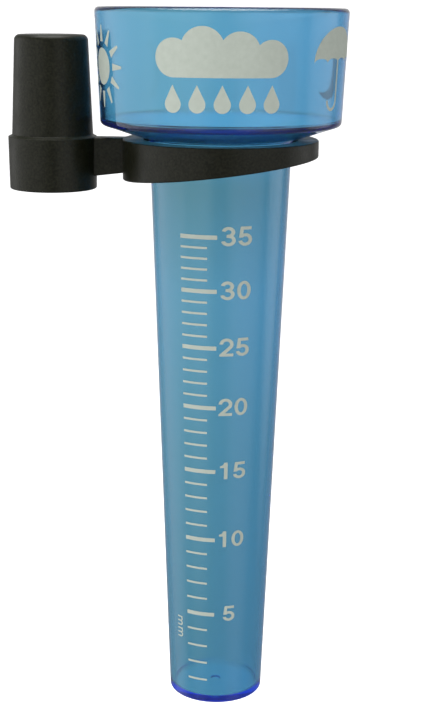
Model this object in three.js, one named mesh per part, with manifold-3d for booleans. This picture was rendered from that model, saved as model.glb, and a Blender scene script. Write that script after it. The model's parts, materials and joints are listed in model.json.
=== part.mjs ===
// Manual rain gauge: a clear graduated vessel that hangs in the ring of a black holder, and the
// holder's socket slips over the top of a round post.
//
// Millimetres, +Z up. Heights in this file are above the underside of the vessel's base; the whole
// model is then lowered so that the origin is the centre of the post seat, the flat ceiling inside
// the socket. +X points from the post to the vessel.

import * as THREE from 'three';
import { mergeVertices } from 'three/addons/utils/BufferGeometryUtils.js';
import Module from 'manifold-3d';

// Vessel: a wide cup on a long tapered measuring tube, one moulding.
const VESSEL_HEIGHT = 251.3;
const VESSEL_WALL = 1.8;
const TUBE_BASE_RADIUS = 17.17;
const TUBE_TAPER = 0.0371;          // radius gained per millimetre of height
const TUBE_FLOOR_THICKNESS = 2.2;
const NECK_HEIGHT = 206.45;         // where the tube runs into the cup's conical underside
const CUP_RIM_RADIUS = 43.58;
const CUP_TAPER = 0.0443;
const CUP_FLOOR_SLOPE = 0.33;       // height gained per millimetre of radius, about 18 degrees
const CUP_FLOOR_THICKNESS = 2.1;
const LIP_OUTER_ROUNDING = 1.5;
const LIP_INNER_ROUNDING = 0.25;
const CUP_CORNER_ROUNDING = 1.6;
const INNER_ROUNDING = 1.1;
const BASE_ROUNDING = 0.8;
const GATE_MARK_RADIUS = 1.75;      // shallow dimple that the moulding gate leaves in the floor
const GATE_MARK_DEPTH = 0.4;

// Holder: post socket, arm and ring, one moulding.
const POST_TO_VESSEL = 59.3;
const POST_SEAT_HEIGHT = 240.0;
const HOLDER_WALL = 1.8;
const PLATE_TOP = 206.8;            // common top of the collar, the arm and the ring
const PLATE_THICKNESS = 2.2;
const SOCKET_TOP_RADIUS = 12.72;
const SOCKET_FOOT_RADIUS = 14.2;
const SOCKET_ROUNDING = 2.0;
const COLLAR_BOTTOM = 188.6;
const COLLAR_TOP_RADIUS = 15.57;
const COLLAR_BOTTOM_RADIUS = 15.3;
const COLLAR_LEDGE_RISE = 0.7;      // the collar's top slopes up to the socket's wall
const ARM_WIDTH = 7.0;
const ARM_BOTTOM = 193.4;           // height of the arm's lower edge at the collar
const ARM_SIDE_WALL = 2.0;
const RING_RADIUS = 34.2;
const RING_HOLE_RADIUS = 26.8;
const RING_BAND_WALL = 2.0;
const RING_BAND_MID_BOTTOM = 196.7; // height of the band's lower edge at the ring's axis
const LOWER_EDGE_SLOPE = 0.122;     // the arm's and the band's lower edges rise away from the post
const BOOLEAN_MARGIN = 5.0;         // how far a cutting solid runs past what it cuts

const VESSEL_SEGMENTS = 64;
const SOCKET_SEGMENTS = 48;
const RING_SEGMENTS = 72;
const ARC_STEPS = 3;

const wasm = await Module();
wasm.setup();

// An outline from corners [x, y, rounding]; a corner with a rounding becomes an arc.
function roundedOutline(corners) {
  const points = corners.map(([x, y]) => new THREE.Vector2(x, y));
  const outline = [];
  corners.forEach(([, , rounding = 0], i) => {
    if (rounding === 0) {
      outline.push(points[i]);
      return;
    }
    const back = points[i - 1].clone().sub(points[i]).normalize();
    const ahead = points[i + 1].clone().sub(points[i]).normalize();
    const halfAngle = Math.acos(back.dot(ahead)) / 2;
    const setback = rounding / Math.tan(halfAngle);
    const bisector = back.clone().add(ahead).normalize();
    const centre = bisector.multiplyScalar(rounding / Math.sin(halfAngle)).add(points[i]);
    const start = back.multiplyScalar(setback).add(points[i]).sub(centre);
    const end = ahead.multiplyScalar(setback).add(points[i]).sub(centre);
    const sweep = Math.atan2(start.cross(end), start.dot(end));
    for (let step = 0; step <= ARC_STEPS; step += 1) {
      const spoke = start.clone().rotateAround(new THREE.Vector2(), (sweep * step) / ARC_STEPS);
      outline.push(spoke.add(centre));
    }
  });
  return outline;
}

// A solid of revolution about the Z axis, from a profile of [radius, height, rounding] corners.
function turned(corners, segments) {
  const geometry = new THREE.LatheGeometry(roundedOutline(corners), segments);
  return geometry.rotateX(Math.PI / 2);
}

function toSolid(geometry) {
  geometry.deleteAttribute('normal');
  geometry.deleteAttribute('uv');
  const merged = mergeVertices(geometry, 1e-4);
  const triangles = [];
  for (let i = 0; i < merged.index.count; i += 3) {
    const [a, b, c] = [0, 1, 2].map((corner) => merged.index.getX(i + corner));
    if (a !== b && b !== c && c !== a) {
      triangles.push(a, b, c);
    }
  }
  return new wasm.Manifold(new wasm.Mesh({
    numProp: 3,
    vertProperties: new Float32Array(merged.attributes.position.array),
    triVerts: new Uint32Array(triangles),
  }));
}

function toGeometry(solid) {
  const { vertProperties, triVerts } = solid.getMesh();
  const geometry = new THREE.BufferGeometry();
  geometry.setAttribute('position', new THREE.BufferAttribute(vertProperties, 3));
  geometry.setIndex(new THREE.BufferAttribute(triVerts, 1));
  geometry.computeVertexNormals();
  return geometry;
}

const tubeRadius = (height) => TUBE_BASE_RADIUS + TUBE_TAPER * height;
const cupRadius = (height) => CUP_RIM_RADIUS - CUP_TAPER * (VESSEL_HEIGHT - height);

// The corner where the cup's wall meets its conical floor, for the outer skin or, with the wall
// and floor thicknesses taken off, for the inner one.
function cupCorner(wall, floor) {
  const floorAtAxis = NECK_HEIGHT + floor - CUP_FLOOR_SLOPE * tubeRadius(NECK_HEIGHT);
  const wallAtZero = cupRadius(0) - wall;
  const radius = (wallAtZero + CUP_TAPER * floorAtAxis) / (1 - CUP_TAPER * CUP_FLOOR_SLOPE);
  return [radius, floorAtAxis + CUP_FLOOR_SLOPE * radius];
}

// The inner edge where the cup's floor drops into the tube.
function innerNeck() {
  const floorAtAxis = NECK_HEIGHT + CUP_FLOOR_THICKNESS - CUP_FLOOR_SLOPE * tubeRadius(NECK_HEIGHT);
  const tubeAtZero = tubeRadius(0) - VESSEL_WALL;
  const radius = (tubeAtZero + TUBE_TAPER * floorAtAxis) / (1 - TUBE_TAPER * CUP_FLOOR_SLOPE);
  return [radius, floorAtAxis + CUP_FLOOR_SLOPE * radius];
}

function buildVessel() {
  const outline = [
    [0, 0],
    [tubeRadius(0), 0, BASE_ROUNDING],
    [tubeRadius(NECK_HEIGHT), NECK_HEIGHT, INNER_ROUNDING],
    [...cupCorner(0, 0), CUP_CORNER_ROUNDING],
    [CUP_RIM_RADIUS, VESSEL_HEIGHT, LIP_OUTER_ROUNDING],
    [CUP_RIM_RADIUS - VESSEL_WALL, VESSEL_HEIGHT, LIP_INNER_ROUNDING],
    [...cupCorner(VESSEL_WALL, CUP_FLOOR_THICKNESS), INNER_ROUNDING],
    [...innerNeck(), INNER_ROUNDING],
    [tubeRadius(TUBE_FLOOR_THICKNESS) - VESSEL_WALL, TUBE_FLOOR_THICKNESS, INNER_ROUNDING],
    [GATE_MARK_RADIUS, TUBE_FLOOR_THICKNESS],
    [GATE_MARK_RADIUS - GATE_MARK_DEPTH, TUBE_FLOOR_THICKNESS - GATE_MARK_DEPTH],
    [0, TUBE_FLOOR_THICKNESS - GATE_MARK_DEPTH],
  ];
  const clearBlue = new THREE.MeshStandardMaterial({
    color: 0x63a0cd, roughness: 0.08, metalness: 0, transparent: true, opacity: 0.45,
  });
  const vessel = new THREE.Mesh(turned(outline, VESSEL_SEGMENTS), clearBlue);
  vessel.name = 'graduated_vessel';
  vessel.position.x = POST_TO_VESSEL;
  return vessel;
}

function socketSolid() {
  return toSolid(turned([
    [0, COLLAR_BOTTOM],
    [COLLAR_BOTTOM_RADIUS, COLLAR_BOTTOM],
    [COLLAR_TOP_RADIUS, PLATE_TOP],
    [SOCKET_FOOT_RADIUS, PLATE_TOP + COLLAR_LEDGE_RISE],
    [SOCKET_TOP_RADIUS, POST_SEAT_HEIGHT + HOLDER_WALL, SOCKET_ROUNDING],
    [0, POST_SEAT_HEIGHT + HOLDER_WALL],
  ], SOCKET_SEGMENTS));
}

// The stepped hollow that the post fills: wide inside the collar, narrower above the ledge.
function postBore() {
  const ledge = PLATE_TOP - PLATE_THICKNESS;
  return toSolid(turned([
    [0, COLLAR_BOTTOM - BOOLEAN_MARGIN],
    [COLLAR_BOTTOM_RADIUS - HOLDER_WALL, COLLAR_BOTTOM - BOOLEAN_MARGIN],
    [COLLAR_BOTTOM_RADIUS - HOLDER_WALL, ledge],
    [SOCKET_FOOT_RADIUS - HOLDER_WALL, ledge],
    [SOCKET_TOP_RADIUS - HOLDER_WALL, POST_SEAT_HEIGHT],
    [0, POST_SEAT_HEIGHT],
  ], SOCKET_SEGMENTS));
}

// A solid that runs across Y, from its outline [x, z] seen from the -Y side.
function crosswise(corners, width) {
  const outline = new THREE.Shape(corners.map(([x, z]) => new THREE.Vector2(x, z)));
  const slab = new THREE.ExtrudeGeometry(outline, { depth: width, bevelEnabled: false });
  return slab.rotateX(Math.PI / 2).translate(0, width / 2, 0);
}

// The arm runs from the socket's axis to the ring's axis; the bore and the ring's hollow are cut
// from it afterwards.
function armSolid() {
  const lowerEdge = (x) => ARM_BOTTOM + LOWER_EDGE_SLOPE * (x - COLLAR_TOP_RADIUS);
  return toSolid(crosswise([
    [0, lowerEdge(0)],
    [POST_TO_VESSEL, lowerEdge(POST_TO_VESSEL)],
    [POST_TO_VESSEL, PLATE_TOP],
    [0, PLATE_TOP],
  ], ARM_WIDTH));
}

// The arm is a channel, open below, between the collar and the ring's band.
function armHollow() {
  const from = COLLAR_TOP_RADIUS + ARM_SIDE_WALL / 2;
  const to = POST_TO_VESSEL - RING_RADIUS;
  const below = ARM_BOTTOM - BOOLEAN_MARGIN;
  const ceiling = PLATE_TOP - PLATE_THICKNESS;
  const corners = [[from, below], [to, below], [to, ceiling], [from, ceiling]];
  return toSolid(crosswise(corners, ARM_WIDTH - 2 * ARM_SIDE_WALL));
}

function ringDisc(radius, bottom, top) {
  const disc = turned([[0, bottom], [radius, bottom], [radius, top], [0, top]], RING_SEGMENTS);
  return toSolid(disc.translate(POST_TO_VESSEL, 0, 0));
}

// Everything under the ring band's sloping lower edge.
function belowBand() {
  const reach = RING_RADIUS + BOOLEAN_MARGIN;
  const floor = ARM_BOTTOM - 3 * BOOLEAN_MARGIN;
  const rise = LOWER_EDGE_SLOPE * reach;
  return toSolid(crosswise([
    [POST_TO_VESSEL - reach, floor],
    [POST_TO_VESSEL + reach, floor],
    [POST_TO_VESSEL + reach, RING_BAND_MID_BOTTOM + rise],
    [POST_TO_VESSEL - reach, RING_BAND_MID_BOTTOM - rise],
  ], 2 * reach));
}

function buildHolder() {
  const flangeUnderside = PLATE_TOP - PLATE_THICKNESS;
  const cutBottom = ARM_BOTTOM - 2 * BOOLEAN_MARGIN;
  const ring = ringDisc(RING_RADIUS, cutBottom, PLATE_TOP).subtract(belowBand());
  const solid = socketSolid()
    .add(armSolid())
    .add(ring)
    .subtract(postBore())
    .subtract(armHollow())
    .subtract(ringDisc(RING_RADIUS - RING_BAND_WALL, cutBottom - BOOLEAN_MARGIN, flangeUnderside))
    .subtract(ringDisc(RING_HOLE_RADIUS, flangeUnderside - BOOLEAN_MARGIN, PLATE_TOP + BOOLEAN_MARGIN));
  const blackPlastic = new THREE.MeshStandardMaterial({
    color: 0x24231f, roughness: 0.5, metalness: 0,
  });
  const holder = new THREE.Mesh(toGeometry(solid), blackPlastic);
  holder.name = 'post_holder';
  return holder;
}

const rainGauge = new THREE.Group();
rainGauge.position.z = -POST_SEAT_HEIGHT;
rainGauge.add(buildHolder(), buildVessel());

export default rainGauge;
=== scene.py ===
"""Manual rain gauge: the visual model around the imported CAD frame.

A clear blue vessel hangs in the ring of a black holder. The vessel, the holder and the printed
marks are built here at fine resolution, in the places that the CAD frame gives.
"""

import json
import math

import bmesh
import bpy
from mathutils import Matrix, Vector
from mathutils.geometry import tessellate_polygon


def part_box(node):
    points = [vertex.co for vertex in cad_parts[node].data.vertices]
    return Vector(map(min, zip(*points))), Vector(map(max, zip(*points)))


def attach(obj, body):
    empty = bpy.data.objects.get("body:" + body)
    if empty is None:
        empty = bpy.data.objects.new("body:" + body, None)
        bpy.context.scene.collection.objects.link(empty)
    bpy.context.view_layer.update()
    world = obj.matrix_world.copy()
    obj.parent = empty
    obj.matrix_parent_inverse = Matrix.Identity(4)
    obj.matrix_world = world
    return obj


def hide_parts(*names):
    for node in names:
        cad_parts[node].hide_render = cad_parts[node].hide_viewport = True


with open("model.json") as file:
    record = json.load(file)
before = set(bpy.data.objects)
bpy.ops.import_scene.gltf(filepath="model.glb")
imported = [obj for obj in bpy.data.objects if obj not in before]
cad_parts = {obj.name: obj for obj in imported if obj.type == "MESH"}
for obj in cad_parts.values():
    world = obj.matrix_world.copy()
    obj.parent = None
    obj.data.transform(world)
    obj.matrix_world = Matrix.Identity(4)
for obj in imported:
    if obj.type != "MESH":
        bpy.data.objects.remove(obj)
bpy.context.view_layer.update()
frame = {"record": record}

MM = 0.001

# ---------------------------------------------------------------- sizes taken from the frame
vessel_low, vessel_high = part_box("graduated_vessel")
holder_low, holder_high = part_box("post_holder")
mounts = {mount["name"]: Vector(mount["pos_m"]) for mount in frame["record"]["mounts"]}

VESSEL_AXIS = Vector(((vessel_low.x + vessel_high.x) / 2, 0, 0))
BASE_Z = vessel_low.z
VESSEL_HEIGHT = vessel_high.z - vessel_low.z
SEAT_Z = mounts["post_seat"].z
LEDGE_Z = mounts["post_shoulder"].z
SOCKET_TOP_Z = holder_high.z
COLLAR_BOTTOM_Z = holder_low.z
COLLAR_TOP_RADIUS = -holder_low.x
RING_RADIUS = holder_high.x - VESSEL_AXIS.x

# ---------------------------------------------------------------- sizes that the frame doesn't give
WALL = 1.8 * MM
TUBE_BASE_RADIUS = 17.17 * MM
TUBE_TAPER = 0.0371
TUBE_FLOOR = 2.2 * MM
NECK_HEIGHT = 206.45 * MM
CUP_TAPER = 0.0443
CUP_FLOOR_SLOPE = 0.33
CUP_FLOOR_THICKNESS = 2.1 * MM
LIP_OUTER_ROUNDING = 1.5 * MM
LIP_INNER_ROUNDING = 0.25 * MM
CUP_CORNER_ROUNDING = 1.6 * MM
INNER_ROUNDING = 1.1 * MM
BASE_ROUNDING = 0.8 * MM
GATE_MARK_RADIUS = 1.75 * MM
GATE_MARK_DEPTH = 0.4 * MM

# The vessel is widest just below its lip's rounding, so its box stops short of the sharp rim.
CUP_RIM_RADIUS = (vessel_high.x - vessel_low.x) / 2 + CUP_TAPER * LIP_OUTER_ROUNDING

PLATE_THICKNESS = 2.2 * MM
PLATE_TOP_Z = LEDGE_Z + PLATE_THICKNESS
SOCKET_TOP_RADIUS = 12.72 * MM
SOCKET_FOOT_RADIUS = 14.2 * MM
SOCKET_ROUNDING = 2.0 * MM
COLLAR_BOTTOM_RADIUS = 15.3 * MM
COLLAR_ROUNDING = 0.5 * MM
COLLAR_LEDGE_RISE = 0.7 * MM
EDGE_ROUNDING = 0.5 * MM
ARM_WIDTH = 7.0 * MM
ARM_HEIGHT = 13.4 * MM            # at the collar
ARM_SIDE_WALL = 2.0 * MM
ARM_ROUNDING = 0.8 * MM
RING_HOLE_RADIUS = 26.8 * MM
RING_BAND_WALL = 2.0 * MM
RING_BAND_MID_HEIGHT = 10.1 * MM
LOWER_EDGE_SLOPE = 0.122
CUT_MARGIN = 5 * MM

FRONT = math.radians(-85.65)        # direction from the vessel's axis that the scale faces
INK_GAP = 0.01 * MM
INK_THICKNESS = 0.05 * MM
INK_SLICE = math.radians(1.5)

VESSEL_SEGMENTS = 288
SOCKET_SEGMENTS = 192
RING_SEGMENTS = 288
ARC_STEPS = 8
WELD_DISTANCE = 1e-7
CUT_TOLERANCE = 1e-8


# ---------------------------------------------------------------- outlines
def arc(centre, radii, start, end, steps):
    """Points on an ellipse's arc, from start to end degrees, both ends included."""
    points = []
    for step in range(steps + 1):
        angle = math.radians(start + (end - start) * step / steps)
        points.append((centre[0] + radii[0] * math.cos(angle), centre[1] + radii[1] * math.sin(angle)))
    return points


def rounded(corners):
    """An outline from corners (x, y, rounding): a corner with a rounding becomes an arc."""
    points = [Vector(corner[:2]) for corner in corners]
    outline = []
    for i, corner in enumerate(corners):
        rounding = corner[2] if len(corner) > 2 else 0
        here = points[i]
        if rounding == 0:
            outline.append(here)
            continue
        back = (points[i - 1] - here).normalized()
        ahead = (points[(i + 1) % len(points)] - here).normalized()
        half_angle = back.angle(ahead) / 2
        setback = rounding / math.tan(half_angle)
        centre = here + (back + ahead).normalized() * (rounding / math.sin(half_angle))
        start = here + back * setback - centre
        sweep = start.angle_signed(here + ahead * setback - centre)
        for step in range(ARC_STEPS + 1):
            spoke = start.copy()
            spoke.rotate(Matrix.Rotation(-sweep * step / ARC_STEPS, 2))
            outline.append(centre + spoke)
    return outline


# ---------------------------------------------------------------- meshes
def new_object(name, bm):
    """A mesh object from a bmesh, with its faces pointing out."""
    bmesh.ops.recalc_face_normals(bm, faces=bm.faces[:])
    mesh = bpy.data.meshes.new(name)
    bm.to_mesh(mesh)
    bm.free()
    obj = bpy.data.objects.new(name, mesh)
    bpy.context.scene.collection.objects.link(obj)
    return obj


def skin(name, rows, close_columns):
    """A closed surface through rows of points; the last row joins the first one."""
    bm = bmesh.new()
    grid = [[bm.verts.new(point) for point in row] for row in rows]
    columns = len(rows[0])
    for i, row in enumerate(grid):
        following = grid[(i + 1) % len(grid)]
        for j in range(columns if close_columns else columns - 1):
            k = (j + 1) % columns
            bm.faces.new((row[j], row[k], following[k], following[j]))
    bmesh.ops.remove_doubles(bm, verts=bm.verts[:], dist=WELD_DISTANCE)
    return new_object(name, bm)


def turned(name, corners, segments, axis, close=False):
    """A solid of revolution about an upright axis, from a profile of (radius, z, rounding) corners."""
    outline = rounded(corners)
    rows = []
    for i in range(segments):
        angle = 2 * math.pi * i / segments
        rows.append([
            (axis.x + r * math.cos(angle), axis.y + r * math.sin(angle), z) for r, z in outline
        ])
    return skin(name, rows, close)


def combine(obj, other, operation):
    """Joins or cuts obj with another solid, which is used up."""
    modifier = obj.modifiers.new("combine", "BOOLEAN")
    modifier.operation = operation
    modifier.solver = "EXACT"
    modifier.object = other
    depsgraph = bpy.context.evaluated_depsgraph_get()
    mesh = bpy.data.meshes.new_from_object(obj.evaluated_get(depsgraph))
    obj.modifiers.clear()
    obj.data = mesh
    bpy.data.objects.remove(other)


def finish_shading(obj, sharp_degrees):
    """Smooth shading that keeps real edges and leaves flat faces flat."""
    obj.data.shade_smooth()
    obj.data.set_sharp_from_angle(angle=math.radians(sharp_degrees))
    weighting = obj.modifiers.new("weighted normals", "WEIGHTED_NORMAL")
    weighting.keep_sharp = True


# ---------------------------------------------------------------- the vessel
def tube_radius(height):
    return TUBE_BASE_RADIUS + TUBE_TAPER * height


def cup_radius(height):
    return CUP_RIM_RADIUS - CUP_TAPER * (VESSEL_HEIGHT - height)


def cone_meets(radius_at_zero, taper, floor):
    """Radius and height where a tapered wall meets the cup's conical floor, lifted by floor."""
    cone_at_axis = NECK_HEIGHT + floor - CUP_FLOOR_SLOPE * tube_radius(NECK_HEIGHT)
    radius = (radius_at_zero + taper * cone_at_axis) / (1 - taper * CUP_FLOOR_SLOPE)
    return radius, cone_at_axis + CUP_FLOOR_SLOPE * radius


def build_vessel():
    outer_corner = cone_meets(cup_radius(0), CUP_TAPER, 0)
    inner_corner = cone_meets(cup_radius(0) - WALL, CUP_TAPER, CUP_FLOOR_THICKNESS)
    inner_neck = cone_meets(tube_radius(0) - WALL, TUBE_TAPER, CUP_FLOOR_THICKNESS)
    corners = [
        (0, 0),
        (tube_radius(0), 0, BASE_ROUNDING),
        (tube_radius(NECK_HEIGHT), NECK_HEIGHT, INNER_ROUNDING),
        (*outer_corner, CUP_CORNER_ROUNDING),
        (CUP_RIM_RADIUS, VESSEL_HEIGHT, LIP_OUTER_ROUNDING),
        (CUP_RIM_RADIUS - WALL, VESSEL_HEIGHT, LIP_INNER_ROUNDING),
        (*inner_corner, INNER_ROUNDING),
        (*inner_neck, INNER_ROUNDING),
        (tube_radius(TUBE_FLOOR) - WALL, TUBE_FLOOR, INNER_ROUNDING),
        (GATE_MARK_RADIUS, TUBE_FLOOR, GATE_MARK_DEPTH / 2),
        (GATE_MARK_RADIUS - GATE_MARK_DEPTH, TUBE_FLOOR - GATE_MARK_DEPTH, GATE_MARK_DEPTH / 2),
        (0, TUBE_FLOOR - GATE_MARK_DEPTH),
    ]
    lifted = [(corner[0], corner[1] + BASE_Z, *corner[2:]) for corner in corners]
    vessel = turned("clear_vessel", lifted, VESSEL_SEGMENTS, VESSEL_AXIS)
    finish_shading(vessel, sharp_degrees=40)
    return vessel


# ---------------------------------------------------------------- the holder
def build_ring():
    """The ring: a flat flange on a band whose lower edge rises away from the arm."""
    inner = RING_RADIUS - RING_BAND_WALL
    flange_underside = PLATE_TOP_Z - PLATE_THICKNESS
    rows = []
    for i in range(RING_SEGMENTS):
        angle = 2 * math.pi * i / RING_SEGMENTS
        rise = LOWER_EDGE_SLOPE * RING_RADIUS * math.cos(angle)
        band_bottom = PLATE_TOP_Z - RING_BAND_MID_HEIGHT + rise
        section = rounded([
            (RING_HOLE_RADIUS, PLATE_TOP_Z, EDGE_ROUNDING),
            (RING_RADIUS, PLATE_TOP_Z, EDGE_ROUNDING),
            (RING_RADIUS, band_bottom, EDGE_ROUNDING),
            (inner, band_bottom, EDGE_ROUNDING),
            (inner, flange_underside, EDGE_ROUNDING),
            (RING_HOLE_RADIUS, flange_underside, EDGE_ROUNDING),
        ])
        rows.append([
            (VESSEL_AXIS.x + r * math.cos(angle), r * math.sin(angle), z) for r, z in section
        ])
    return skin("ring", rows, True)


def build_arm():
    """A bar from the socket's axis to the middle of the ring's band; its lower edge rises."""
    half = ARM_WIDTH / 2
    bottom = PLATE_TOP_Z - ARM_HEIGHT
    section = rounded([
        (-half, bottom, EDGE_ROUNDING),
        (half, bottom, EDGE_ROUNDING),
        (half, PLATE_TOP_Z, ARM_ROUNDING),
        (-half, PLATE_TOP_Z, ARM_ROUNDING),
    ])
    bm = bmesh.new()
    face = bm.faces.new([bm.verts.new((0, y, z)) for y, z in section])
    bmesh.ops.extrude_face_region(bm, geom=[face])
    bm.verts.ensure_lookup_table()
    reach = VESSEL_AXIS.x - RING_RADIUS + RING_BAND_WALL / 2
    for vert in bm.verts[len(section):]:
        vert.co.x = reach
    middle_z = PLATE_TOP_Z - ARM_HEIGHT / 2
    for vert in bm.verts:
        if vert.co.z < middle_z:
            vert.co.z += LOWER_EDGE_SLOPE * (vert.co.x - COLLAR_TOP_RADIUS)
    return new_object("arm", bm)


def block(name, low, high):
    """A box solid between two corners, for cutting."""
    bm = bmesh.new()
    bmesh.ops.create_cube(bm, size=1)
    for vert in bm.verts:
        for axis in range(3):
            vert.co[axis] = low[axis] if vert.co[axis] < 0 else high[axis]
    return new_object(name, bm)


def build_holder():
    origin = Vector((0, 0, 0))
    holder = turned("black_holder", [
        (0, COLLAR_BOTTOM_Z),
        (COLLAR_BOTTOM_RADIUS, COLLAR_BOTTOM_Z, COLLAR_ROUNDING),
        (COLLAR_TOP_RADIUS, PLATE_TOP_Z, EDGE_ROUNDING / 2),
        (SOCKET_FOOT_RADIUS, PLATE_TOP_Z + COLLAR_LEDGE_RISE, EDGE_ROUNDING),
        (SOCKET_TOP_RADIUS, SOCKET_TOP_Z, SOCKET_ROUNDING),
        (0, SOCKET_TOP_Z),
    ], SOCKET_SEGMENTS, origin)
    combine(holder, build_arm(), "UNION")
    combine(holder, build_ring(), "UNION")
    bore_radius = COLLAR_BOTTOM_RADIUS - WALL
    combine(holder, turned("bore", [
        (0, COLLAR_BOTTOM_Z - CUT_MARGIN),
        (bore_radius, COLLAR_BOTTOM_Z - CUT_MARGIN),
        (bore_radius, LEDGE_Z, EDGE_ROUNDING),
        (SOCKET_FOOT_RADIUS - WALL, LEDGE_Z, EDGE_ROUNDING),
        (SOCKET_TOP_RADIUS - WALL, SEAT_Z, EDGE_ROUNDING),
        (0, SEAT_Z),
    ], SOCKET_SEGMENTS, origin), "DIFFERENCE")
    half = ARM_WIDTH / 2 - ARM_SIDE_WALL
    combine(holder, block(
        "channel",
        (COLLAR_TOP_RADIUS + ARM_SIDE_WALL / 2, -half, COLLAR_BOTTOM_Z),
        (VESSEL_AXIS.x - RING_RADIUS, half, PLATE_TOP_Z - PLATE_THICKNESS),
    ), "DIFFERENCE")
    finish_shading(holder, sharp_degrees=30)
    return holder


# ---------------------------------------------------------------- printed marks
# Digits are one unit tall, and everything about them is a share of that height.
STROKE_X = 0.172                    # thickness of a stem
STROKE_Y = 0.16                     # thickness of a bar
DIGIT_WIDTH = 0.67
HALF_WIDTH = DIGIT_WIDTH / 2
DIGIT_STRETCH = 1.14                # the numerals are a wide cut
CURVE_STEPS = 20


def digit_0():
    middle = (HALF_WIDTH, 0.5)
    outer = arc(middle, (HALF_WIDTH, 0.5), 0, 360, 2 * CURVE_STEPS)[:-1]
    inner = arc(middle, (HALF_WIDTH - STROKE_X, 0.5 - STROKE_Y), 0, 360, 2 * CURVE_STEPS)[:-1]
    return [outer, inner]


def digit_1():
    flag = arc((0.12, 1.0), (0.2, 0.2), -90, 0, CURVE_STEPS // 2)
    return [[(0.32, 0), (0.5, 0), (0.5, 1), *reversed(flag), (0.12, 0.68), (0.32, 0.68)]]


def digit_2():
    bowl = (HALF_WIDTH, 0.67)
    outer = arc(bowl, (HALF_WIDTH, 0.33), 180, -38, CURVE_STEPS)
    inner = arc(bowl, (HALF_WIDTH - STROKE_X, 0.33 - STROKE_Y), -38, 180, CURVE_STEPS)
    foot = [(0.3, STROKE_Y), (0.665, STROKE_Y), (0.665, 0), (0, 0), (0, 0.1)]
    return [[*outer, *foot, *inner]]


def digit_3():
    upper, lower = (0.325, 0.72), (0.33, 0.295)
    outline = arc(upper, (0.305, 0.28), 168, -47, CURVE_STEPS)
    outline += arc(lower, (HALF_WIDTH, 0.295), 48, -168, CURVE_STEPS)
    outline += arc(lower, (HALF_WIDTH - STROKE_X, 0.295 - STROKE_Y), -168, 90, CURVE_STEPS)
    outline += [(0.24, 0.44), (0.24, 0.59)]
    outline += arc(upper, (0.305 - STROKE_X, 0.28 - STROKE_Y), -90, 168, CURVE_STEPS)
    return [outline]


def digit_5():
    bowl = (0.33, 0.325)
    outline = [(0.1, 1), (0.62, 1), (0.62, 1 - STROKE_Y), (0.24, 1 - STROKE_Y)]
    outline += arc(bowl, (HALF_WIDTH, 0.325), 108, -168, CURVE_STEPS)
    outline += arc(bowl, (HALF_WIDTH - STROKE_X, 0.325 - STROKE_Y), -168, 140, CURVE_STEPS)
    outline += [(0.03, 0.43)]
    return [outline]


DIGITS = {"0": digit_0, "1": digit_1, "2": digit_2, "3": digit_3, "5": digit_5}


def cloud(width):
    """A cloud, width across: round puffs that run into each other over a flat base."""
    puffs = [                       # x, y and radius, as shares of the width
        (-0.35, 0.14, 0.135),
        (-0.14, 0.2, 0.155),
        (0.12, 0.175, 0.145),
        (0.345, 0.135, 0.13),
    ]
    outline = []
    start = 270.0
    for (x, y, r), (next_x, next_y, next_r) in zip(puffs, puffs[1:]):
        gap = math.hypot(next_x - x, next_y - y)
        bearing = math.degrees(math.atan2(next_y - y, next_x - x))
        ahead = math.degrees(math.acos((gap * gap + r * r - next_r * next_r) / (2 * gap * r)))
        back = math.degrees(math.acos((gap * gap + next_r * next_r - r * r) / (2 * gap * next_r)))
        outline += arc((x, y), (r, r), start, bearing + ahead, CURVE_STEPS)
        start = bearing + 180 - back
    x, y, r = puffs[-1]
    outline += arc((x, y), (r, r), start, -90.0, CURVE_STEPS)
    return scaled([outline], width)


def drop(height):
    """A rain drop with its point up, its lowest point at y = 0."""
    r = 0.31                        # of the round end, as a share of the height
    tangent = math.degrees(math.acos(r / (1 - r)))
    outline = arc((0, r), (r, r), 90 + tangent, 450 - tangent, CURVE_STEPS) + [(0, 1)]
    return scaled([outline], height)


def moon(height):
    """A crescent moon, open to the right."""
    half = height / 2
    horn_angle = 50
    outer = arc((0, 0), (half, half), horn_angle, 360 - horn_angle, 2 * CURVE_STEPS)
    horn_x, horn_y = outer[0]
    centre_x = 0.42 * half          # of the inner edge's arc
    reach = math.hypot(horn_x - centre_x, horn_y)
    turn = math.degrees(math.atan2(horn_y, horn_x - centre_x))
    inner = arc((centre_x, 0), (reach, reach), 360 - turn, turn, 2 * CURVE_STEPS)
    return [[*outer, *inner[1:-1]]]


def letter_m():
    """A lower-case m, one unit tall."""
    stem, inside = 0.2, 0.225
    outside = inside + stem
    shoulder = 1 - outside
    first, second = stem + inside, 2 * stem + 3 * inside
    leaves_stem = math.degrees(math.acos((stem - first) / outside))
    meets = math.degrees(math.acos((second - first) / 2 / outside))
    right = second + outside
    outline = [(0, 0), (0, 1), (stem, 1)]
    outline += arc((first, shoulder), (outside, outside), leaves_stem, meets, CURVE_STEPS)
    outline += arc((second, shoulder), (outside, outside), 180 - meets, 0, CURVE_STEPS)[1:]
    outline += [(right, 0), (right - stem, 0)]
    outline += arc((second, shoulder), (inside, inside), 0, 180, CURVE_STEPS)
    outline += [(first + outside, 0), (first + inside, 0)]
    outline += arc((first, shoulder), (inside, inside), 0, 180, CURVE_STEPS)
    outline += [(stem, 0)]
    return [outline]


def turned_down(loops):
    """Shapes turned to read from top to bottom."""
    return [[(y, -x) for x, y in loop] for loop in loops]


def shifted(loops, dx, dy):
    return [[(x + dx, y + dy) for x, y in loop] for loop in loops]


def widened(loops, factor):
    return [[(x * factor, y) for x, y in loop] for loop in loops]


def scaled(loops, factor):
    return [[(x * factor, y * factor) for x, y in loop] for loop in loops]


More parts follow.
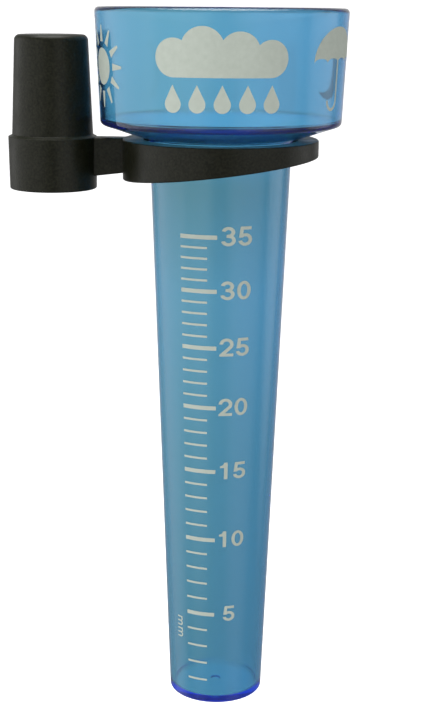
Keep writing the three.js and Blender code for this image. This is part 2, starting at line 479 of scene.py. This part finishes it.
def sun(radius):
    """A disc with tapering rays; returns a list of shapes."""
    rays = 12
    disc_radius = 0.45 * radius
    foot_half_width = 0.09 * radius
    tip_half_width = 0.03 * radius
    shapes = [[arc((0, 0), (disc_radius, disc_radius), 0, 360, 2 * CURVE_STEPS)[:-1]]]
    for i in range(rays):
        angle = 2 * math.pi * i / rays
        across = Vector((-math.sin(angle), math.cos(angle)))
        along = Vector((math.cos(angle), math.sin(angle)))
        foot = along * (0.6 * radius)
        tip = along * radius
        shapes.append([[
            tuple(foot - across * foot_half_width),
            tuple(tip - across * tip_half_width),
            tuple(tip + across * tip_half_width),
            tuple(foot + across * foot_half_width),
        ]])
    return shapes


def umbrella(width):
    """An open umbrella: a scalloped canopy over a shaft with a hooked handle."""
    half = width / 2
    scallops = 4
    step = width / scallops
    canopy = arc((0, 0), (half, 0.8 * half), 180, 0, 2 * CURVE_STEPS)
    for i in range(scallops):
        centre = half - step * (i + 0.5)
        canopy += arc((centre, 0), (step / 2, step / 5), 0, 180, CURVE_STEPS // 2)[1:]
    canopy.pop()                    # the last point is the first one again
    line = 0.035 * width
    shaft_top = 0.06 * width
    shaft_bottom = -0.42 * width
    hook = 0.09 * width
    shaft = [(-line / 2, shaft_top), (-line / 2, shaft_bottom)]
    shaft += arc((-line / 2 - hook, shaft_bottom), (hook, hook), 0, -180, CURVE_STEPS)
    outer = arc((-line / 2 - hook, shaft_bottom), (hook + line, hook + line), -180, 0, CURVE_STEPS)
    shaft += [*outer, (line / 2, shaft_top)]
    return [[canopy], [shaft]]


def print_shapes(name, shapes, radius_at, angle, height):
    """Ink on a surface of revolution.

    Shapes are lists of loops in metres, outer loop first, x to the right and y up from the point
    at that angle and height. radius_at gives the surface's radius at a height.
    """
    reference = radius_at(height)
    bm = bmesh.new()
    for loops in shapes:
        flat = [[Vector((x / reference, y, 0)) for x, y in loop] for loop in loops]
        verts = [bm.verts.new(point) for loop in flat for point in loop]
        for triangle in tessellate_polygon(flat):
            corners = [verts[i] for i in triangle]
            if len(set(corners)) == 3:
                bm.faces.new(corners)
    widest = max(abs(vert.co.x) for vert in bm.verts)
    slices = math.ceil(widest / INK_SLICE)
    for i in range(-slices, slices + 1):
        bmesh.ops.bisect_plane(
            bm, geom=bm.verts[:] + bm.edges[:] + bm.faces[:], dist=CUT_TOLERANCE,
            plane_co=(i * INK_SLICE, 0, 0), plane_no=(1, 0, 0),
        )
    extruded = bmesh.ops.extrude_face_region(bm, geom=bm.faces[:])["geom"]
    for element in extruded:
        if isinstance(element, bmesh.types.BMVert):
            element.co.z = INK_THICKNESS
    for vert in bm.verts:
        across, up, lift = vert.co
        radius = radius_at(height + up) + INK_GAP + lift
        bearing = FRONT + angle + across
        vert.co = (
            VESSEL_AXIS.x + radius * math.cos(bearing),
            radius * math.sin(bearing),
            BASE_Z + height + up,
        )
    return new_object(name, bm)


def mark_height(millimetres):
    """Height of the mark for that depth of rain: the tube below it holds the rain that falls in
    the cup's mouth."""
    mouth = CUP_RIM_RADIUS - WALL
    inner = tube_radius(TUBE_FLOOR) - WALL
    cubed = inner ** 3 + 3 * TUBE_TAPER * mouth ** 2 * millimetres * MM
    return (cubed ** (1 / 3) - tube_radius(0) + WALL) / TUBE_TAPER


SCALE_TOP = 35
MAJOR_STEP = 5
TICK_LEFT = math.radians(-34.5)
MINOR_RIGHT = math.radians(-10.4)
MAJOR_RIGHT = math.radians(-2.1)
NUMERAL_CENTRE = math.radians(14.4)
MAJOR_THICKNESS = 1.45 * MM
MINOR_THICKNESS = 0.75 * MM
MARK_ROUNDING = 0.12 * MM
TOP_NUMERAL_HEIGHT = 6.65 * MM
NUMERAL_RAISE = 0.4 * MM
NUMERAL_GAP = 0.11                  # between two digits, as a share of their height


def build_scale():
    """The 35 marks and their numerals, as printed pieces."""
    pieces = []
    top_radius = tube_radius(mark_height(SCALE_TOP))
    for rain in range(1, SCALE_TOP + 1):
        height = mark_height(rain)
        major = rain % MAJOR_STEP == 0
        right = MAJOR_RIGHT if major else MINOR_RIGHT
        half = (MAJOR_THICKNESS if major else MINOR_THICKNESS) / 2
        middle = (TICK_LEFT + right) / 2
        reach = (right - TICK_LEFT) / 2 * tube_radius(height)
        bar = rounded([
            (-reach, -half, MARK_ROUNDING),
            (reach, -half, MARK_ROUNDING),
            (reach, half, MARK_ROUNDING),
            (-reach, half, MARK_ROUNDING),
        ])
        pieces.append(print_shapes(f"mark_{rain:02d}_mm", [[bar]], tube_radius, middle, height))
        if major:
            size = TOP_NUMERAL_HEIGHT * math.sqrt(tube_radius(height) / top_radius)
            text = str(rain)
            width = DIGIT_WIDTH * len(text) + NUMERAL_GAP * (len(text) - 1)
            shapes = []
            for place, digit in enumerate(text):
                left = place * (DIGIT_WIDTH + NUMERAL_GAP) - width / 2
                placed = widened(shifted(DIGITS[digit](), left, -0.5), DIGIT_STRETCH)
                shapes.append(scaled(placed, size))
            pieces.append(print_shapes(
                f"numeral_{text}", shapes, tube_radius, NUMERAL_CENTRE, height + NUMERAL_RAISE))
    return pieces


UNIT_ANGLE = math.radians(-46)
UNIT_TOP = 33 * MM
UNIT_LETTER_HEIGHT = 2.5 * MM
UNIT_LETTER_STEP = 1.85             # from one letter to the next, in letter heights


def build_unit():
    """The unit, mm, beside the lowest marks, reading downwards."""
    letters = [
        scaled(turned_down(shifted(letter_m(), i * UNIT_LETTER_STEP, -0.5)), UNIT_LETTER_HEIGHT)
        for i in range(2)
    ]
    return [print_shapes("unit_mm", letters, tube_radius, UNIT_ANGLE, UNIT_TOP)]


CLOUD_WIDTH = 46 * MM
CLOUD_BASE = -2 * MM                # heights in the rain sign, from its own origin
DROPS = 5
DROP_HEIGHT = 9 * MM
DROP_SPACING = 8.2 * MM
DROPS_BASE = -13 * MM
SUN_RADIUS = 13.5 * MM
UMBRELLA_WIDTH = 29 * MM
MOON_HEIGHT = 23 * MM


def rain_sign():
    shapes = [shifted(cloud(CLOUD_WIDTH), 0, CLOUD_BASE)]
    for i in range(DROPS):
        sideways = (i - (DROPS - 1) / 2) * DROP_SPACING
        shapes.append(shifted(drop(DROP_HEIGHT), sideways, DROPS_BASE))
    return shapes


def build_cup_prints():
    """Weather signs round the cup: rain in front, sun on the left, umbrella and moon on the right."""
    signs = (                       # name, shapes, degrees round from the front, height in millimetres
        ("print_rain", rain_sign(), 0.5, 231.5),
        ("print_sun", sun(SUN_RADIUS), -68, 232),
        ("print_umbrella", umbrella(UMBRELLA_WIDTH), 64, 234),
        ("print_moon", [moon(MOON_HEIGHT)], 110, 231),
    )
    return [
        print_shapes(name, shapes, cup_radius, math.radians(degrees), height * MM)
        for name, shapes, degrees, height in signs
    ]


# ---------------------------------------------------------------- shader nodes
NOISE_RANGE = (0.3, 0.7)            # where most of a noise's values lie


def feed(tree, socket, source):
    """Links an output to a socket, or sets the socket to a plain value."""
    if isinstance(source, bpy.types.NodeSocket):
        tree.links.new(source, socket)
    else:
        socket.default_value = source


def spread(tree, value, from_range, to_range, interpolation="LINEAR"):
    """A value carried from one range to another, and kept inside it."""
    node = tree.nodes.new("ShaderNodeMapRange")
    node.interpolation_type = interpolation
    node.inputs["From Min"].default_value, node.inputs["From Max"].default_value = from_range
    node.inputs["To Min"].default_value, node.inputs["To Max"].default_value = to_range
    tree.links.new(value, node.inputs["Value"])
    return node.outputs["Result"]


def arithmetic(tree, operation, *operands):
    node = tree.nodes.new("ShaderNodeMath")
    node.operation = operation
    for socket, operand in zip(node.inputs, operands):
        feed(tree, socket, operand)
    return node.outputs["Value"]


def choose(tree, factor, otherwise, value):
    """One number where the factor is 0, and another where it is 1."""
    node = tree.nodes.new("ShaderNodeMix")
    tree.links.new(factor, node.inputs["Factor"])
    feed(tree, node.inputs["A"], otherwise)
    feed(tree, node.inputs["B"], value)
    return node.outputs["Result"]


def mix_colours(tree, blend, factor, first, second):
    node = tree.nodes.new("ShaderNodeMix")
    node.data_type = "RGBA"
    node.blend_type = blend
    feed(tree, node.inputs["Factor"], factor)
    sockets = [socket for socket in node.inputs if socket.type == "RGBA"]
    feed(tree, sockets[0], first)
    feed(tree, sockets[1], second)
    return next(socket for socket in node.outputs if socket.type == "RGBA")


def ramp(tree, value, stops):
    """Colours along a value; stops are (value, colour), in rising order."""
    node = tree.nodes.new("ShaderNodeValToRGB")
    first, last = stops[0][0], stops[-1][0]
    elements = node.color_ramp.elements
    elements[0].color = (*stops[0][1], 1)
    elements[1].color = (*stops[-1][1], 1)
    for place, colour in stops[1:-1]:
        elements.new((place - first) / (last - first)).color = (*colour, 1)
    tree.links.new(spread(tree, value, (first, last), (0, 1)), node.inputs["Fac"])
    return node.outputs["Color"]


# ---------------------------------------------------------------- materials
def node_material(name):
    material = bpy.data.materials.new(name)
    material.use_nodes = True
    tree = material.node_tree
    return material, tree, tree.nodes["Principled BSDF"], tree.nodes["Material Output"]


def noise(tree, coordinates, scale, detail):
    node = tree.nodes.new("ShaderNodeTexNoise")
    node.inputs["Scale"].default_value = scale
    node.inputs["Detail"].default_value = detail
    tree.links.new(coordinates, node.inputs["Vector"])
    return node.outputs["Fac"]


def colours(tree, value, dark, light):
    """A colour that a noise varies between two close shades."""
    node = tree.nodes.new("ShaderNodeValToRGB")
    for element, place, shade in zip(node.color_ramp.elements, NOISE_RANGE, (dark, light)):
        element.position = place
        element.color = (*shade, 1)
    tree.links.new(value, node.inputs["Fac"])
    return node.outputs["Color"]


def bump(tree, height, distance, strength):
    node = tree.nodes.new("ShaderNodeBump")
    node.inputs["Distance"].default_value = distance
    node.inputs["Strength"].default_value = strength
    tree.links.new(height, node.inputs["Height"])
    return node.outputs["Normal"]


def object_coordinates(tree):
    return tree.nodes.new("ShaderNodeTexCoord").outputs["Object"]


def clear_blue_plastic():
    """Clear plastic with a slight milkiness, whose blue deepens where it is thick."""
    material, tree, shader, output = node_material("clear_blue_plastic")
    where = object_coordinates(tree)
    streaks = tree.nodes.new("ShaderNodeMapping")
    streaks.inputs["Scale"].default_value = (1, 1, 0.12)
    tree.links.new(where, streaks.inputs["Vector"])
    flow = noise(tree, streaks.outputs["Vector"], scale=45, detail=3)
    unevenness = noise(tree, where, scale=40, detail=3)
    tree.links.new(colours(tree, flow, (0.63, 0.83, 0.88), (0.68, 0.86, 0.91)),
                   shader.inputs["Base Color"])
    shader.inputs["Transmission Weight"].default_value = 0.98
    shader.inputs["IOR"].default_value = 1.5
    tree.links.new(spread(tree, unevenness, NOISE_RANGE, (0.03, 0.08)), shader.inputs["Roughness"])
    tree.links.new(bump(tree, flow, distance=0.0004, strength=0.15), shader.inputs["Normal"])
    absorption = tree.nodes.new("ShaderNodeVolumeAbsorption")
    absorption.inputs["Color"].default_value = (0.0, 0.69, 0.955, 1)
    absorption.inputs["Density"].default_value = 330
    tree.links.new(absorption.outputs["Volume"], output.inputs["Volume"])
    return material


def black_plastic():
    material, tree, shader, _ = node_material("black_plastic")
    where = object_coordinates(tree)
    grain = noise(tree, where, scale=1300, detail=3)
    wear = noise(tree, where, scale=180, detail=3)
    tree.links.new(colours(tree, grain, (0.0045, 0.0050, 0.0022), (0.0145, 0.0150, 0.0085)),
                   shader.inputs["Base Color"])
    shader.inputs["Specular IOR Level"].default_value = 0.2
    tree.links.new(spread(tree, wear, NOISE_RANGE, (0.3, 0.42)), shader.inputs["Roughness"])
    tree.links.new(bump(tree, grain, distance=0.00015, strength=0.4), shader.inputs["Normal"])
    return material


def scale_ink():
    material, tree, shader, _ = node_material("scale_ink")
    where = object_coordinates(tree)
    cover = noise(tree, where, scale=500, detail=4)
    wear = noise(tree, where, scale=900, detail=2)
    grain = noise(tree, where, scale=3000, detail=2)
    tree.links.new(colours(tree, cover, (0.44, 0.49, 0.43), (0.48, 0.53, 0.47)),
                   shader.inputs["Base Color"])
    tree.links.new(spread(tree, wear, NOISE_RANGE, (0.5, 0.65)), shader.inputs["Roughness"])
    tree.links.new(bump(tree, grain, distance=0.00003, strength=0.3), shader.inputs["Normal"])
    return material


def floor_material():
    material, tree, shader, _ = node_material("studio_floor")
    mottle = noise(tree, object_coordinates(tree), scale=3, detail=3)
    tree.links.new(colours(tree, mottle, (0.78, 0.78, 0.78), (0.8, 0.8, 0.8)),
                   shader.inputs["Base Color"])
    shader.inputs["Roughness"].default_value = 0.9
    shader.inputs["Emission Color"].default_value = (1, 1, 1, 1)
    shader.inputs["Emission Strength"].default_value = 0.8
    return material


def use(obj, material, body):
    """Gives a piece its material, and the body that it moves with."""
    obj.data.materials.clear()
    obj.data.materials.append(material)
    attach(obj, body)


# ---------------------------------------------------------------- studio
CAMERA_TURN = FRONT + math.pi / 2   # from -Y: the camera stands straight in front of the scale
CAMERA_DISTANCE = 504.2 * MM
CAMERA_HEIGHT = 253.7 * MM          # above the vessel's base
CAMERA_HEADING = math.radians(4.602)
CAMERA_PITCH = math.radians(13.87)  # downwards
CAMERA_ROLL = math.radians(0.5)
CAMERA_LENS = 72.87
CAMERA_SENSOR = 36
CAMERA_CLIP_START = 0.01
CAMERA_CLIP_END = 100

# The surroundings differ by what looks at them. The camera sees plain white, reflections see a dim
# room with soft upright bands and a lamp overhead, what is seen through the clear plastic is a
# graded backdrop with a dark strip of painted shade that darkens the tube just under the ring, and
# all other light comes evenly from all round.
WORLD_SEEN = 1.05
WORLD_LIGHT = 0.40
ROOM_LEVEL = 0.27                   # between the bands
LAMP_LEVEL = 6                      # straight overhead
LAMP_EDGE = 0.75                    # how steeply up the lamp's glow begins
BANDS = (                           # heading of the middle and half the width in degrees, and level
    (-128, 42, 0.7),
    (-40, 45, 0.7),
    (178, 46, 1.15),
    (20, 28, 1.0),
    (92, 45, 0.25),
)
BACKDROP_WITH_SHADE_STRIP = (                        # how far the sight line rises, and the colour there
    (-0.45, (0.43, 0.46, 0.45)),
    (-0.30, (0.54, 0.55, 0.52)),
    (-0.20, (0.68, 0.65, 0.64)),
    # painted shade: a dim, brownish strip that darkens the top of the tube just under the ring
    (-0.125, (0.48, 0.44, 0.37)),
    (-0.10, (0.72, 0.72, 0.72)),
    (0.0, (0.78, 0.78, 0.78)),
)
BACKDROP_TINT = (                   # how far the sight line goes to the right, and the tint there
    (-0.12, (1.08, 1.06, 1.00)),
    (-0.03, (0.93, 0.96, 1.06)),
)
BACKDROP_DIMMING = ((-0.5, 0.5), (1, 0.85))     # from left to right
BACKDROP_RISE = ((0, 0.7), (1, 1.9))            # from level to steeply up

LIGHTS = (                          # name, place from the vessel's middle, width and height, power
    ("key", (-0.7, -0.85, -0.2), (1.1, 1.1), 11),
    ("fill", (1.2, -1.1, 0.0), (1.6, 1.8), 7),
    ("left_rim", (-0.9, 0.5, 0.1), (0.6, 1.2), 1.2),
    ("right_rim", (0.9, 0.5, 0.1), (0.6, 1.2), 1.2),
    ("overhead", (-0.1, -0.2, 1.1), (0.5, 0.5), 9),
)
FLOOR_RADIUS = 30
FLOOR_SEGMENTS = 96
FLOOR_DEPTH = 0.12                  # below the vessel's base


def add_camera():
    camera = bpy.data.objects.new("camera", bpy.data.cameras.new("camera"))
    bpy.context.scene.collection.objects.link(camera)
    camera.data.sensor_fit = "VERTICAL"
    camera.data.sensor_height = CAMERA_SENSOR
    camera.data.lens = CAMERA_LENS
    camera.data.clip_start = CAMERA_CLIP_START
    camera.data.clip_end = CAMERA_CLIP_END
    place = VESSEL_AXIS + Vector((
        CAMERA_DISTANCE * math.sin(CAMERA_TURN),
        -CAMERA_DISTANCE * math.cos(CAMERA_TURN),
        BASE_Z + CAMERA_HEIGHT,
    ))
    turn = (
        Matrix.Rotation(CAMERA_HEADING, 4, "Z")
        @ Matrix.Rotation(math.pi / 2 - CAMERA_PITCH, 4, "X")
        @ Matrix.Rotation(CAMERA_ROLL, 4, "Z")
    )
    camera.matrix_world = Matrix.Translation(place) @ turn
    bpy.context.scene.camera = camera


def area_light(name, place, target, size, power):
    """A soft light that lights surfaces, and isn't itself seen in gloss or through the plastic."""
    light = bpy.data.objects.new(name, bpy.data.lights.new(name, "AREA"))
    bpy.context.scene.collection.objects.link(light)
    light.data.shape = "RECTANGLE"
    light.data.size, light.data.size_y = size
    light.data.energy = power
    light.rotation_euler = (target - place).to_track_quat("-Z", "Y").to_euler()
    light.location = place
    light.visible_glossy = False
    light.visible_transmission = False


def reflected(tree, direction):
    """The level of the surroundings as reflections show them."""
    total = spread(tree, direction["Z"], (LAMP_EDGE, 1), (ROOM_LEVEL, LAMP_LEVEL), "SMOOTHERSTEP")
    for heading, half_width, level in BANDS:
        middle = Vector((math.cos(math.radians(heading)), math.sin(math.radians(heading))))
        along_x = arithmetic(tree, "MULTIPLY", direction["X"], middle.x)
        aligned = arithmetic(tree, "MULTIPLY_ADD", direction["Y"], middle.y, along_x)
        edge = math.cos(math.radians(half_width))
        band = spread(tree, aligned, (edge, 1), (0, level), "SMOOTHERSTEP")
        total = arithmetic(tree, "ADD", total, band)
    return total


def studio_world():
    world = bpy.data.worlds.new("studio")
    world.use_nodes = True
    tree = world.node_tree
    rays = tree.nodes.new("ShaderNodeLightPath").outputs
    through = rays["Is Transmission Ray"]
    direction = tree.nodes.new("ShaderNodeSeparateXYZ")
    tree.links.new(tree.nodes.new("ShaderNodeTexCoord").outputs["Generated"], direction.inputs[0])
    across, rise = direction.outputs["X"], direction.outputs["Z"]

    backdrop_level = arithmetic(
        tree, "MULTIPLY", spread(tree, rise, *BACKDROP_RISE), spread(tree, across, *BACKDROP_DIMMING))
    lit = choose(tree, rays["Is Glossy Ray"], WORLD_LIGHT, reflected(tree, direction.outputs))
    level = choose(tree, through, lit, backdrop_level)
    seen = choose(tree, rays["Is Camera Ray"], level, WORLD_SEEN)

    # the backdrop's colour, with its strip of painted shade behind the top of the tube
    backdrop_with_shade = mix_colours(
        tree, "MULTIPLY", 1, ramp(tree, rise, BACKDROP_WITH_SHADE_STRIP), ramp(tree, across, BACKDROP_TINT))
    background = tree.nodes["Background"]
    tree.links.new(seen, background.inputs["Strength"])
    tree.links.new(mix_colours(tree, "MIX", through, (1, 1, 1, 1), backdrop_with_shade), background.inputs["Color"])
    return world


def add_floor(centre):
    """A pale floor that only the camera sees, so that it doesn't darken or tint the plastic."""
    bm = bmesh.new()
    bmesh.ops.create_circle(bm, cap_ends=True, segments=FLOOR_SEGMENTS, radius=FLOOR_RADIUS)
    floor = new_object("floor", bm)
    floor.location = (centre.x, 0, BASE_Z - FLOOR_DEPTH)
    floor.data.materials.append(floor_material())
    floor.visible_diffuse = False
    floor.visible_glossy = False
    floor.visible_transmission = False


def add_studio():
    centre = VESSEL_AXIS + Vector((0, 0, BASE_Z + VESSEL_HEIGHT / 2))
    add_floor(centre)
    bpy.context.scene.world = studio_world()
    for name, offset, size, power in LIGHTS:
        area_light(name, centre + Vector(offset), centre, size, power)
    # The plastic's edges need many bounces to show their deep blue.
    cycles = bpy.context.scene.cycles
    cycles.max_bounces = 32
    cycles.glossy_bounces = 24
    cycles.transmission_bounces = 24
    bpy.context.scene.view_settings.view_transform = "Standard"


# ---------------------------------------------------------------- assembly
blue = clear_blue_plastic()
black = black_plastic()
ink = scale_ink()

vessel = build_vessel()
use(vessel, blue, "vessel")
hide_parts("graduated_vessel")

holder = build_holder()
use(holder, black, "holder")
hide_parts("post_holder")

for piece in build_scale() + build_unit() + build_cup_prints():
    use(piece, ink, "vessel")

add_camera()
add_studio()
